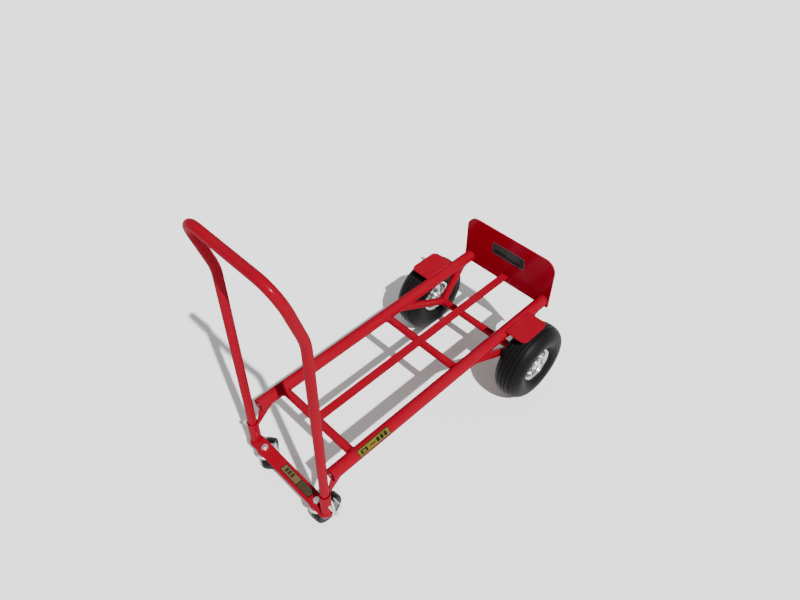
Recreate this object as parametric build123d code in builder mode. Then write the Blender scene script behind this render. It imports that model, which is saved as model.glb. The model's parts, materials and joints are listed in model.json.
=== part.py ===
from build123d import *
import os
from math import atan2, cos, pi, radians, sin, sqrt, tan

# Convertible hand truck, standing in its platform position.
# +X points from the handle towards the toe plate, +Y to the left, +Z up.
# The origin is on the floor, midway along the length and between the rails.

# ---- driving dimensions, mm and degrees ----
wheel_diameter = 270.0
tyre_width = 98.0
wheel_spacing = 444.0  # between the two tyres' middle planes
rim_seat_radius = 50.8
rim_flange_radius = 59.5
rim_width = 60.0  # between the flanges
rim_sheet = 2.4
hub_diameter = 44.0
hub_length = 64.0
axle_diameter = 15.9

rail_diameter = 38.1
rail_wall = 2.0
rail_length = 908.5
rail_spacing = 312.0
rail_rise = 132.6  # rail centre line above the axle

cross_tube_diameter = 25.4
cross_tube_wall = 1.6
cross_tube_drop = 6.0  # cross tube centre line below the rail's
rear_cross_tube_inset = 88.6  # from the rails' open ends
middle_cross_tube_inset = 499.5
strut_diameter = 25.4
rear_strut_reach = 238.0  # along the rail, from above the axle
front_strut_reach = 98.0
strip_width = 28.0
strip_thickness = 3.0
strip_overhang = 11.0  # past the rear cross tube's centre line

toe_plate_width = 356.0
toe_plate_height = 187.0
toe_plate_thickness = 5.0
toe_plate_drop = 2.0  # lower edge below the rails
toe_plate_corner = 42.0
toe_plate_foot_corner = 6.0

fender_length = 118.0
fender_thickness = 3.0
fender_corner = 20.0
fender_setback = 19.0  # fender's middle behind the axle
fender_side_inset = 10.0  # inner edge outboard of the rail's centre line
fender_outer_half = 241.6  # outer edge from the middle of the truck

caster_diameter = 96.0
caster_width = 32.0
caster_trail = 29.5
caster_spacing = 237.0
caster_turn = {"left": 41.0, "right": 4.0}
fork_sheet = 3.0
fork_crown_gap = 4.0  # above the caster wheel
swivel_stack = 15.0  # fork crown to the caster plate
caster_plate_width = 42.0
caster_plate_end_margin = 1.0  # past the sockets
caster_plate_thickness = 5.0

leg_diameter = 25.4
leg_wall = 1.6
leg_spacing = 320.0
leg_lean = 1.25
rail_to_leg_gap = 14.7  # at the rails' height
socket_diameter = 31.8
socket_wall = 1.9
socket_height = 87.0
handle_bend_height = 804.0
handle_top_length = 178.0
handle_top_lean = 15.0
handle_corner_radius = 62.0
handle_bend_radius = 180.0
handle_seam_height = 600.0
spigot_length = 45.0
gusset_thickness = 4.0
gusset_foot = 35.0  # length along the socket, from its rim down
gusset_head = 56.0  # length along the rail, from its open end

sleeve_length = 80.0
sleeve_recess = 4.0
pin_diameter = 8.0
pin_height = 43.0  # above the caster plate
pin_standout = 24.0
pin_travel = 22.0  # inward, to the locked place
bail_wire = 3.0

# ---- clearances ----
running_gap = 0.3
slide_gap = 0.5
spigot_gap = 0.1
hole_gap = 0.5

# ---- sizes worked out from the above ----
wheel_radius = wheel_diameter / 2
rail_radius = rail_diameter / 2
rail_bore = rail_diameter - 2 * rail_wall
cross_tube_radius = cross_tube_diameter / 2
strut_radius = strut_diameter / 2
caster_radius = caster_diameter / 2
leg_radius = leg_diameter / 2
leg_bore = leg_diameter - 2 * leg_wall
socket_radius = socket_diameter / 2
socket_bore = socket_diameter - 2 * socket_wall
lean = radians(leg_lean)
top_lean = radians(handle_top_lean)

axle_z = wheel_radius
rail_z = axle_z + rail_rise
cross_tube_z = rail_z - cross_tube_drop
crown_z = caster_diameter + fork_crown_gap
caster_plate_z = crown_z + fork_sheet + swivel_stack + caster_plate_thickness
socket_top_z = caster_plate_z + socket_height

# The crossbar at one end and the toe plate at the other are the same distance from the origin.
leg_from_toe = toe_plate_thickness + rail_length + rail_to_leg_gap + leg_radius
crossbar_from_leg = (handle_bend_height - rail_z) * tan(lean) - handle_top_length * sin(top_lean)
toe_face_x = (leg_from_toe - crossbar_from_leg + leg_radius) / 2
axle_x = toe_face_x - wheel_radius
rail_front_x = toe_face_x - toe_plate_thickness
rail_open_x = rail_front_x - rail_length
rail_y = rail_spacing / 2
wheel_y = wheel_spacing / 2
leg_y = leg_spacing / 2
caster_y = caster_spacing / 2


def leg_x(height):
    """The legs' centre line at a height above the floor."""
    return toe_face_x - leg_from_toe + (height - rail_z) * tan(lean)


caster_plate_x = leg_x(caster_plate_z)
sides = {"left": 1, "right": -1}
leg_up = Vector(sin(lean), 0, cos(lean))


def leg_plane(side, height):
    """A plane square to a leg, on its centre line."""
    at = (leg_x(height), side * leg_y, height)
    return Plane(origin=at, x_dir=(cos(lean), 0, -sin(lean)), z_dir=leg_up)


def bar(plane, diameter, length, mode=Mode.ADD):
    """A round bar that rises from a plane, in the piece being built."""
    with BuildSketch(plane) as section:
        Circle(diameter / 2)
    extrude(section.sketch, amount=length, mode=mode)


def tube(plane, outer, inner, length):
    """A round tube that rises from a plane, in the piece being built."""
    with BuildSketch(plane) as section:
        Circle(outer / 2)
        Circle(inner / 2, mode=Mode.SUBTRACT)
    extrude(section.sketch, amount=length)


def hexagon(plane, across_flats, length):
    """A hexagonal head or nut that rises from a plane."""
    with BuildSketch(plane) as section:
        RegularPolygon(across_flats / 2, 6, major_radius=False)
    extrude(section.sketch, amount=length)


def write(piece, label):
    """Name a finished piece and write its file."""
    piece.part.label = label
    export_step(piece.part, f"parts/{label}.step")


os.makedirs("parts", exist_ok=True)


# ---- frame ----
def rail_plane(side):
    """The plane of a rail's open end."""
    return Plane(origin=(rail_open_x, side * rail_y, rail_z), x_dir=(0, 1, 0), z_dir=(1, 0, 0))


for name, side in sides.items():
    with BuildPart() as rail:
        tube(rail_plane(side), rail_diameter, rail_bore, rail_length)
    write(rail, f"{name}_rail")

sleeve_bore = leg_diameter + 2 * slide_gap
with BuildPart() as rail_sleeves:
    for side in sides.values():
        tube(rail_plane(side).offset(sleeve_recess), rail_bore, sleeve_bore, sleeve_length)
write(rail_sleeves, "rail_sleeves")

cross_tube_x = [rail_open_x + rear_cross_tube_inset, rail_open_x + middle_cross_tube_inset]
with BuildPart() as cross_tubes:
    for x in cross_tube_x:
        start = Plane(origin=(x, -rail_y, cross_tube_z), x_dir=(1, 0, 0), z_dir=(0, 1, 0))
        tube(start, cross_tube_diameter, cross_tube_diameter - 2 * cross_tube_wall, rail_spacing)
    for side in sides.values():
        bar(rail_plane(side), rail_diameter, rail_length, Mode.SUBTRACT)
write(cross_tubes, "cross_tubes")

strip_z = cross_tube_z + cross_tube_radius
strip_rear_x = cross_tube_x[0] - strip_overhang
with BuildPart() as deck_strip:
    with BuildSketch(Plane.XY.offset(strip_z)):
        with Locations(((strip_rear_x + rail_front_x) / 2, 0)):
            Rectangle(rail_front_x - strip_rear_x, strip_width)
    extrude(amount=strip_thickness)
write(deck_strip, "deck_strip")

toe_plate_foot_z = rail_z - rail_radius - toe_plate_drop
toe_plane = Plane(origin=(rail_front_x, 0, toe_plate_foot_z), x_dir=(0, 1, 0), z_dir=(1, 0, 0))
with BuildPart() as toe_plate:
    with BuildSketch(toe_plane):
        with Locations((0, toe_plate_height / 2)):
            Rectangle(toe_plate_width, toe_plate_height)
        fillet(vertices().group_by(Axis.Y)[-1], toe_plate_corner)
        fillet(vertices().group_by(Axis.Y)[0], toe_plate_foot_corner)
    extrude(amount=toe_plate_thickness)
write(toe_plate, "toe_plate")

# ---- axle and its struts ----
washer_thickness = 3.0
washer_diameter = 34.0
spacer_diameter = 22.0
axle_tube_end = 1.0  # past the struts
cotter_diameter = 4.0
cotter_gap = 2.5  # from the washer to the cotter pin's centre
cotter_standout = 6.0
axle_end = 7.0  # past the cotter pin's centre
hub_inner_y = wheel_y - hub_length / 2
hub_outer_y = wheel_y + hub_length / 2
axle_tube_half = rail_y + strut_radius + axle_tube_end
axle_tube_bore = axle_diameter + 2 * spigot_gap
inner_washer_y = hub_inner_y - running_gap - washer_thickness
outer_washer_y = hub_outer_y + running_gap
cotter_y = outer_washer_y + washer_thickness + cotter_gap
axle_half = cotter_y + axle_end


def axle_plane(y):
    """A plane square to the axle, facing +Y."""
    return Plane(origin=(axle_x, y, axle_z), x_dir=(1, 0, 0), z_dir=(0, 1, 0))


with BuildPart() as axle_tube:
    tube(axle_plane(-axle_tube_half), strut_diameter, axle_tube_bore, 2 * axle_tube_half)
write(axle_tube, "axle_tube")

with BuildPart() as axle_rod:
    bar(axle_plane(-axle_half), axle_diameter, 2 * axle_half)
    chamfer(edges().filter_by(GeomType.CIRCLE), 1.0)
    for side in sides.values():
        pin_foot = Plane.XY.offset(axle_z - axle_diameter)
        with BuildSketch(pin_foot):
            with Locations((axle_x, side * cotter_y)):
                Circle(cotter_diameter / 2)
        extrude(amount=2 * axle_diameter, mode=Mode.SUBTRACT)
write(axle_rod, "axle_rod")

# A flanged spacer inside each hub, and a washer outside it.
with BuildPart() as axle_spacers:
    for side in sides.values():
        for near, far, outer in (
            (axle_tube_half, inner_washer_y, spacer_diameter),
            (inner_washer_y, inner_washer_y + washer_thickness, washer_diameter),
            (outer_washer_y, outer_washer_y + washer_thickness, washer_diameter),
        ):
            tube(axle_plane(min(side * near, side * far)), outer, axle_diameter, far - near)
write(axle_spacers, "axle_spacers")

cotter_reach = axle_diameter / 2 + cotter_standout
with BuildPart() as axle_cotter_pins:
    for side in sides.values():
        foot = Plane(origin=(axle_x, side * cotter_y, axle_z - cotter_reach))
        bar(foot, cotter_diameter, 2 * cotter_reach)
        eye_z = axle_z + cotter_reach + 0.5 * cotter_diameter
        eye = Plane(origin=(axle_x, side * cotter_y - 0.3 * cotter_diameter, eye_z), z_dir=(0, 1, 0))
        tube(eye, 2.2 * cotter_diameter, 0.9 * cotter_diameter, 0.6 * cotter_diameter)
write(axle_cotter_pins, "axle_cotter_pins")

strut_wall = 1.6
strut_reach = {"front": front_strut_reach, "rear": -rear_strut_reach}


def strut_plane(side, reach):
    """A plane at the axle, square to a strut that rises to the rail this far along it."""
    along = Vector(reach, 0, rail_rise)
    return Plane(origin=(axle_x, side * rail_y, axle_z), x_dir=(0, 1, 0), z_dir=along)


for name, side in sides.items():
    for end, reach in strut_reach.items():
        length = sqrt(reach**2 + rail_rise**2)
        with BuildPart() as strut:
            tube(strut_plane(side, reach), strut_diameter, strut_diameter - 2 * strut_wall, length)
            bar(axle_plane(-axle_tube_half), strut_diameter, 2 * axle_tube_half, Mode.SUBTRACT)
            bar(rail_plane(side), rail_diameter, rail_length, Mode.SUBTRACT)
            if end == "rear":
                bar(strut_plane(side, front_strut_reach), strut_diameter, length, Mode.SUBTRACT)
        write(strut, f"{name}_{end}_strut")

# ---- fenders over the wheels ----
fender_inner_y = rail_y + fender_side_inset
fender_top_z = rail_z + rail_radius
fender_width = fender_outer_half - fender_inner_y
for name, side in sides.items():
    with BuildPart() as fender:
        with BuildSketch(Plane.XY.offset(fender_top_z - fender_thickness)):
            with Locations((axle_x - fender_setback, side * (fender_inner_y + fender_width / 2))):
                Rectangle(fender_length, fender_width)
            fillet(vertices().sort_by(Axis.Y, reverse=side < 0)[-2:], fender_corner)
        extrude(amount=fender_thickness)
        bar(rail_plane(side), rail_diameter, rail_length, Mode.SUBTRACT)
    write(fender, f"{name}_fender")

# ---- caster plate, sockets and gussets ----
king_bolt_diameter = 12.0
caster_plate_length = leg_spacing + socket_diameter + 2 * caster_plate_end_margin
caster_plate_under_z = caster_plate_z - caster_plate_thickness
with BuildPart() as caster_plate:
    with BuildSketch(Plane.XY.offset(caster_plate_under_z)):
        with Locations((caster_plate_x, 0)):
            SlotOverall(caster_plate_length, caster_plate_width, rotation=90)
        with Locations((caster_plate_x, caster_y), (caster_plate_x, -caster_y)):
            Circle(king_bolt_diameter / 2, mode=Mode.SUBTRACT)
    extrude(amount=caster_plate_thickness)
write(caster_plate, "caster_plate")


def pin_plane(side, distance):
    """A plane square to a lock pin, this far outboard of the leg's centre line, facing outboard."""
    height = caster_plate_z + pin_height
    at = (leg_x(height), side * (leg_y + distance), height)
    return Plane(origin=at, x_dir=(1, 0, 0), z_dir=(0, side, 0))


pin_hole = pin_diameter + 2 * hole_gap
for name, side in sides.items():
    with BuildPart() as socket:
        tube(leg_plane(side, caster_plate_z - socket_radius), socket_diameter, socket_bore,
             socket_height / cos(lean) + socket_radius)
        bar(pin_plane(side, 0), pin_hole, leg_diameter, Mode.SUBTRACT)
        with BuildSketch(Plane.XY.offset(caster_plate_z)):
            with Locations((caster_plate_x, side * leg_y)):
                Rectangle(2 * leg_diameter, 2 * leg_diameter)
        extrude(amount=-2 * socket_radius, mode=Mode.SUBTRACT)
    write(socket, f"{name}_socket")

rail_under_z = rail_z - rail_radius
gusset_foot_z = socket_top_z - gusset_foot
for name, side in sides.items():
    with BuildPart() as gusset:
        with BuildSketch(Plane.XZ.offset(-side * rail_y - gusset_thickness / 2)):
            with BuildLine():
                Polyline(
                    (leg_x(gusset_foot_z), gusset_foot_z),
                    (leg_x(socket_top_z), socket_top_z),
                    (leg_x(socket_top_z) + socket_radius, socket_top_z),
                    (rail_open_x, rail_under_z),
                    (rail_open_x, rail_z),
                    (rail_open_x + gusset_head, rail_z),
                    (rail_open_x + gusset_head, rail_under_z),
                    close=True,
                )
            make_face()
        extrude(amount=gusset_thickness)
        bar(rail_plane(side), rail_diameter, rail_length, Mode.SUBTRACT)
        bar(leg_plane(side, caster_plate_z), socket_diameter, socket_height + socket_diameter, Mode.SUBTRACT)
    write(gusset, f"{name}_gusset")

# ---- labels ----
label_thickness = 0.4
label_corner = 1.5
toe_label_width = 132.0
toe_label_height = 45.0
toe_label_rise = 115.0  # its middle above the toe plate's lower edge
caster_label_width = 25.0
caster_label_length = 128.0
caster_label_forward = 1.0  # its middle from the caster plate's centre line
caster_label_right = 31.0  # its middle from the middle of the truck
with BuildPart() as toe_plate_label:
    with BuildSketch(toe_plane):
        with Locations((0, toe_label_rise)):
            RectangleRounded(toe_label_width, toe_label_height, label_corner)
    extrude(amount=-label_thickness)
write(toe_plate_label, "toe_plate_label")

with BuildPart() as caster_plate_label:
    with BuildSketch(Plane.XY.offset(caster_plate_z)):
        with Locations((caster_plate_x + caster_label_forward, -caster_label_right)):
            RectangleRounded(caster_label_width, caster_label_length, label_corner)
    extrude(amount=label_thickness)
write(caster_plate_label, "caster_plate_label")

rail_label_inset = 88.0
rail_label_length = 113.0
rail_label_from = 8.0  # degrees from the rail's top, going outboard
rail_label_arc = 72.0
with BuildPart() as rail_label:
    with BuildSketch(rail_plane(-1).offset(rail_label_inset)):
        with BuildLine():
            inner = CenterArc((0, 0), rail_radius, 90 + rail_label_from, rail_label_arc)
            label_radius = rail_radius + label_thickness
            outer = CenterArc((0, 0), label_radius, 90 + rail_label_from, rail_label_arc)
            Line(inner @ 0, outer @ 0)
            Line(inner @ 1, outer @ 1)
        make_face()
    extrude(amount=rail_label_length)
write(rail_label, "rail_label")

# ---- main wheels ----
bearing_diameter = 35.0
bearing_width = 11.0
hub_bore = 28.0
bead_width = 8.0
bead_overhang = 1.0  # bead past the rim's flange
bead_half = rim_width / 2
tyre_half = tyre_width / 2
carcass = 7.0
widest_rise = 2.0  # widest place above the middle of the sidewall
widest_radius = (wheel_radius + rim_seat_radius) / 2 + widest_rise
shoulder_radius = 36.0
bead_chamfer = 2.2
rim_bend_radius = 2.0
rim_disc_radius = 41.0
rim_well = 12.0
rim_bolt_circle = 30.5
rim_bolt_diameter = 8.0
rim_bolt_flats = 13.0
rim_bolt_head = 7.0
rim_nut_thickness = 5.5
rim_bolt_count = 4
valve_diameter = 8.0
valve_radius = 44.0
valve_length = 26.0
valve_foot = 3.0  # outboard of the wheel's middle plane


def wheel_plane(side):
    """Radius along x and the distance outboard of the tyre's middle along y."""
    return Plane(origin=(axle_x, side * wheel_y, axle_z), x_dir=(1, 0, 0), z_dir=(0, 0, side))


def bearing_seats(side):
    """The planes of a hub's two ends, each facing into the hub."""
    ends = [(side * wheel_y + end * hub_length / 2, -end) for end in (-1, 1)]
    return [Plane(origin=(axle_x, y, axle_z), z_dir=(0, inward, 0)) for y, inward in ends]


wheel_axis = Axis((axle_x, 0, axle_z), (0, 1, 0))
cavity_centre = (rim_seat_radius + wheel_radius) / 2
cavity_height = wheel_radius - carcass - cavity_centre
cavity_half = tyre_half - carcass
tube_gap = 0.3
tube_wall = 2.5
bead_outer = rim_flange_radius + bead_overhang
# The tread's arc runs on smoothly from the shoulder's: this is where the two meet.
crown_rise = wheel_radius - widest_radius - shoulder_radius
shoulder_turn = pi / 2 - 2 * atan2(crown_rise, tyre_half - shoulder_radius)
shoulder_end = (
    widest_radius + shoulder_radius * sin(shoulder_turn),
    tyre_half - shoulder_radius + shoulder_radius * cos(shoulder_turn),
)
groove_spacing = 14.5
groove_width = 3.0
groove_depth = 4.0
for name, side in sides.items():
    with BuildPart() as tyre:
        with BuildSketch(wheel_plane(side)):
            with BuildLine():
                shoulder = TangentArc((widest_radius, tyre_half), shoulder_end, tangent=(1, 0))
                TangentArc(shoulder_end, (wheel_radius, 0), tangent=shoulder % 1)
                TangentArc((widest_radius, tyre_half), (bead_outer, bead_half), tangent=(-1, 0))
                Polyline(
                    (bead_outer, bead_half),
                    (rim_seat_radius + bead_chamfer, bead_half),
                    (rim_seat_radius, bead_half - bead_chamfer),
                    (rim_seat_radius, 0),
                    (wheel_radius, 0),
                )
            make_face()
            mirror(about=Plane.XZ)
            with Locations((cavity_centre, 0)):
                Ellipse(cavity_height, cavity_half, mode=Mode.SUBTRACT)
            with Locations((rim_seat_radius, 0)):
                Rectangle(2 * (bead_half - bead_width), 2 * (bead_half - bead_width), mode=Mode.SUBTRACT)
            with Locations(*[(wheel_radius, n * groove_spacing) for n in (-1.5, -0.5, 0.5, 1.5)]):
                Rectangle(2 * groove_depth, groove_width, mode=Mode.SUBTRACT)
        revolve(axis=wheel_axis)
    write(tyre, f"{name}_tyre")

    with BuildPart() as inner_tube:
        with BuildSketch(wheel_plane(side)):
            with Locations((cavity_centre, 0)):
                Ellipse(cavity_height - tube_gap, cavity_half - tube_gap)
                Ellipse(cavity_height - tube_wall, cavity_half - tube_wall, mode=Mode.SUBTRACT)
        revolve(axis=wheel_axis)
    write(inner_tube, f"{name}_inner_tube")

    for half, out in {"outer": 1, "inner": -1}.items():
        with BuildPart() as rim:
            with BuildSketch(wheel_plane(side)):
                with BuildLine():
                    FilletPolyline(
                        (hub_diameter / 2, out * rim_sheet / 2),
                        (rim_disc_radius, out * rim_sheet / 2),
                        (rim_seat_radius - rim_sheet / 2, out * rim_well),
                        (rim_seat_radius - rim_sheet / 2, out * (bead_half + rim_sheet / 2)),
                        (rim_flange_radius, out * (bead_half + rim_sheet / 2)),
                        radius=rim_bend_radius,
                    )
                trace(line_width=rim_sheet)
            revolve(axis=wheel_axis)
            face = axle_plane(side * wheel_y - hub_length / 2)
            with BuildSketch(face):
                with PolarLocations(rim_bolt_circle, rim_bolt_count, start_angle=45):
                    Circle(rim_bolt_diameter / 2)
            extrude(amount=hub_length, mode=Mode.SUBTRACT)
            if half == "outer":
                with BuildSketch(face):
                    with Locations((0, -valve_radius)):
                        Circle(valve_diameter / 2)
                extrude(amount=hub_length, mode=Mode.SUBTRACT)
        write(rim, f"{name}_rim_{half}")

    with BuildPart() as hub:
        tube(axle_plane(side * wheel_y - hub_length / 2), hub_diameter, hub_bore, hub_length)
        for seat in bearing_seats(side):
            bar(seat, bearing_diameter, bearing_width, Mode.SUBTRACT)
    write(hub, f"{name}_hub")

    with BuildPart() as bearings:
        for seat in bearing_seats(side):
            tube(seat, bearing_diameter, axle_diameter + 2 * running_gap, bearing_width)
    write(bearings, f"{name}_bearings")

    with BuildPart() as rim_bolts:
        foot = axle_plane(side * wheel_y - rim_sheet - rim_bolt_head)
        with BuildSketch(foot):
            with PolarLocations(rim_bolt_circle, rim_bolt_count, start_angle=45):
                RegularPolygon(rim_bolt_flats / 2, 6, major_radius=False)
        extrude(amount=rim_bolt_head)
        with BuildSketch(foot.offset(rim_bolt_head)):
            with PolarLocations(rim_bolt_circle, rim_bolt_count, start_angle=45):
                Circle(rim_bolt_diameter / 2)
        extrude(amount=2 * rim_sheet)
        with BuildSketch(foot.offset(rim_bolt_head + 2 * rim_sheet)):
            with PolarLocations(rim_bolt_circle, rim_bolt_count, start_angle=45):
                RegularPolygon(rim_bolt_flats / 2, 6, major_radius=False)
        extrude(amount=rim_nut_thickness)
    write(rim_bolts, f"{name}_rim_bolts")

    with BuildPart() as valve_stem:
        valve_at = (axle_x, side * (wheel_y + valve_foot), axle_z + valve_radius)
        foot = Plane(origin=valve_at, z_dir=(0, side, 0))
        bar(foot, valve_diameter, valve_length)
    write(valve_stem, f"{name}_valve_stem")

# ---- casters ----
race_diameter = 50.0
race_thickness = 5.0
race_neck_diameter = 36.0
race_seat = 2.5  # raised ring on the fork crown
crown_diameter = 52.0
king_head_thickness = 5.0
king_head_diameter = 18.0
king_nut_flats = 19.0
king_nut_thickness = 7.0
king_bolt_end = 2.0  # thread past the nut
king_bolt_chamfer = 1.2
crown_top_z = crown_z + fork_sheet
race_z = crown_top_z + race_seat + running_gap
king_head_z = crown_z - running_gap - king_head_thickness
king_bolt_top_z = caster_plate_z + king_nut_thickness + king_bolt_end
with BuildPart() as caster_races:
    for side in sides.values():
        seat = Plane(origin=(caster_plate_x, side * caster_y, race_z))
        tube(seat, race_diameter, king_bolt_diameter, race_thickness)
        tube(seat, race_neck_diameter, king_bolt_diameter, caster_plate_under_z - race_z)
write(caster_races, "caster_races")

with BuildPart() as caster_king_bolts:
    for side in sides.values():
        head = Plane(origin=(caster_plate_x, side * caster_y, king_head_z))
        bar(head, king_head_diameter, king_head_thickness)
        bar(head, king_bolt_diameter, king_bolt_top_z - king_head_z)
    chamfer(edges().filter_by(GeomType.CIRCLE).group_by(Axis.Z)[-1], king_bolt_chamfer)
write(caster_king_bolts, "caster_king_bolts")

with BuildPart() as caster_king_nuts:
    for side in sides.values():
        foot = Plane(origin=(caster_plate_x, side * caster_y, caster_plate_z))
        hexagon(foot, king_nut_flats, king_nut_thickness)
        bar(foot, king_bolt_diameter, king_nut_thickness, Mode.SUBTRACT)
write(caster_king_nuts, "caster_king_nuts")

caster_axle_diameter = 10.0
caster_axle_flats = 17.0
caster_axle_head = 6.0
caster_nut_thickness = 8.0
caster_axle_end = 12.0  # past the fork
caster_axle_bore = caster_axle_diameter + 2 * running_gap
caster_hub_diameter = 62.0
caster_boss_diameter = 20.0
caster_tyre_fillet = 6.0
hub_side_gap = 1.7
hub_half = caster_width / 2 + hub_side_gap
fork_inner_half = hub_half + running_gap
fork_outer_half = fork_inner_half + fork_sheet
fork_eye_diameter = 24.0
fork_root_margin = 16.0  # cheek's upper edge longer than the trail
fork_root_shift = 2.0  # further back than the middle of the trail
fork_root_rise = crown_top_z - 2 * fork_sheet - caster_radius  # above the axle


class Caster:
    """Where one caster stands, and which way it is turned."""

    def __init__(self, name):
        turn = radians(caster_turn[name])
        self.trail = Vector(cos(turn), sin(turn), 0)
        self.roll_axis = Vector(-sin(turn), cos(turn), 0)
        self.king = Vector(caster_plate_x, sides[name] * caster_y, 0)
        self.stance = Plane(origin=self.king, x_dir=self.trail, z_dir=(0, 0, 1))

    def across(self, y):
        """A plane square to the wheel's axle and facing along it, with its own y downwards."""
        centre = self.king + self.trail * caster_trail + Vector(0, 0, caster_radius)
        return Plane(origin=centre + self.roll_axis * y, x_dir=self.trail, z_dir=self.roll_axis)


for name in sides:
    caster = Caster(name)
    with BuildPart() as fork:
        with BuildSketch(caster.stance.offset(crown_z)):
            Circle(crown_diameter / 2)
            with Locations((caster_trail / 2, 0)):
                Rectangle(caster_trail, 2 * fork_outer_half)
        extrude(amount=fork_sheet)
        with BuildSketch(caster.stance.offset(crown_top_z)):
            Circle(race_diameter / 2)
        extrude(amount=race_seat)
        for y in (-fork_outer_half, fork_inner_half):
            with BuildSketch(caster.across(y)):
                Circle(fork_eye_diameter / 2)
                with Locations((-caster_trail / 2 - fork_root_shift, -fork_root_rise)):
                    Rectangle(caster_trail + fork_root_margin, 2 * fork_sheet)
                make_hull()
            extrude(amount=fork_sheet)
        with BuildSketch(caster.stance.offset(crown_z)):
            Circle(king_bolt_diameter / 2 + running_gap)
        extrude(amount=fork_sheet + race_seat, mode=Mode.SUBTRACT)
        bar(caster.across(-fork_outer_half), caster_axle_diameter, 2 * fork_outer_half, Mode.SUBTRACT)
    write(fork, f"{name}_caster_fork")

    with BuildPart() as caster_axle:
        head = caster.across(-fork_outer_half - caster_axle_head)
        hexagon(head, caster_axle_flats, caster_axle_head)
        bar(caster.across(-fork_outer_half), caster_axle_diameter, 2 * fork_outer_half + caster_axle_end)
    write(caster_axle, f"{name}_caster_axle_bolt")

    with BuildPart() as axle_nut:
        hexagon(caster.across(fork_outer_half), caster_axle_flats, caster_nut_thickness)
        bar(caster.across(fork_outer_half), caster_axle_diameter, caster_nut_thickness, Mode.SUBTRACT)
    write(axle_nut, f"{name}_caster_axle_nut")

    with BuildPart() as caster_hub:
        tube(caster.across(-caster_width / 2), caster_hub_diameter, caster_axle_bore, caster_width)
        tube(caster.across(-hub_half), caster_boss_diameter, caster_axle_bore, 2 * hub_half)
    write(caster_hub, f"{name}_caster_hub")

    with BuildPart() as caster_tyre:
        tube(caster.across(-caster_width / 2), caster_diameter, caster_hub_diameter, caster_width)
        rim_edges = edges().filter_by(GeomType.CIRCLE).group_by(SortBy.RADIUS)[-1]
        fillet(rim_edges, caster_tyre_fillet)
    write(caster_tyre, f"{name}_caster_tyre")

# ---- handle ----
cap_thickness = 2.5
cap_skirt = 14.0
cap_skirt_wall = 2.5
leg_foot_gap = 0.8  # under the end caps
seam_chamfer = 0.6
leg_foot_z = caster_plate_z + leg_foot_gap + cap_thickness
spigot_diameter = leg_bore - 2 * spigot_gap
crossbar_x = leg_x(handle_bend_height) - handle_top_length * sin(top_lean)
crossbar_z = handle_bend_height + handle_top_length * cos(top_lean)
seam_length = (handle_seam_height - leg_foot_z) / cos(lean)


def handle_path_points():
    """The handle's centre line from the right leg's seam over the crossbar to the left leg's."""
    seam = (leg_x(handle_seam_height), leg_y, handle_seam_height)
    bend = (leg_x(handle_bend_height), leg_y, handle_bend_height)
    corner = (crossbar_x, leg_y, crossbar_z)
    left = [seam, bend, corner]
    right = [(x, -y, z) for x, y, z in left]
    return right + left[::-1]


def is_full_size(edge):
    """Whether a round edge is as large as the leg tube."""
    return edge.radius > leg_radius - seam_chamfer / 2


with BuildPart() as handle_loop:
    with BuildLine():
        bends = [handle_bend_radius, handle_corner_radius]
        FilletPolyline(*handle_path_points(), radius=bends + bends[::-1])
    with BuildSketch(leg_plane(-1, handle_seam_height)):
        Circle(leg_radius)
        Circle(leg_bore / 2, mode=Mode.SUBTRACT)
    sweep()
    for side in sides.values():
        spigot = leg_plane(side, handle_seam_height).offset(-spigot_length)
        tube(spigot, spigot_diameter, spigot_diameter - 2 * leg_wall, spigot_length)
        tube(spigot.offset(spigot_length), leg_diameter, spigot_diameter - 2 * leg_wall, leg_wall)
    full_rings = edges().filter_by(GeomType.CIRCLE).filter_by(is_full_size)
    chamfer(full_rings.group_by(Axis.Z)[0], seam_chamfer)
write(handle_loop, "handle_loop")

with BuildPart() as lower_legs:
    for side in sides.values():
        tube(leg_plane(side, leg_foot_z), leg_diameter, leg_bore, seam_length)
    full_rings = edges().filter_by(GeomType.CIRCLE).filter_by(is_full_size)
    chamfer(full_rings.group_by(Axis.Z)[-1], seam_chamfer)
    for side in sides.values():
        bar(pin_plane(side, 0), pin_hole, leg_diameter, Mode.SUBTRACT)
write(lower_legs, "lower_legs")

with BuildPart() as leg_end_caps:
    for side in sides.values():
        foot = leg_plane(side, leg_foot_z)
        bar(foot.offset(-cap_thickness), leg_diameter, cap_thickness)
        tube(foot, leg_bore, leg_bore - 2 * cap_skirt_wall, cap_skirt)
write(leg_end_caps, "leg_end_caps")

# ---- lock pins and their bails ----
pin_tip = socket_radius - socket_wall + running_gap
collar_diameter = 12.0
collar_length = 8.0
collar_from = socket_radius + pin_standout
bail_reach = 22.0
bail_overrun = 12.0  # the bail's return past the socket's face
bail_return = pin_standout + bail_overrun
bail_rise = 8.0
bail_bends = [3.0, 10.0]
for name, side in sides.items():
    with BuildPart() as lock_pin:
        bar(pin_plane(side, pin_tip), pin_diameter, collar_from - pin_tip + collar_length)
        bar(pin_plane(side, collar_from), collar_diameter, collar_length)
        hinge_at = pin_plane(side, collar_from + collar_length / 2).origin
        hinge_foot = Plane(origin=hinge_at - Vector(0, 0, collar_diameter))
        bar(hinge_foot, bail_wire + 2 * running_gap, 2 * collar_diameter, Mode.SUBTRACT)
    write(lock_pin, f"{name}_lock_pin")

    with BuildPart() as pin_bail:
        eye = pin_plane(side, collar_from + collar_length / 2).origin
        out = Vector(bail_reach, 0, 0)
        back = Vector(0, -side * bail_return, 0)
        up = Vector(0, 0, bail_rise)
        with BuildLine():
            FilletPolyline(eye - up, eye + up, eye + up + out, eye + up + out + back, radius=bail_bends)
        with BuildSketch(Plane(origin=eye - up)):
            Circle(bail_wire / 2)
        sweep()
    write(pin_bail, f"{name}_pin_bail")
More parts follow.
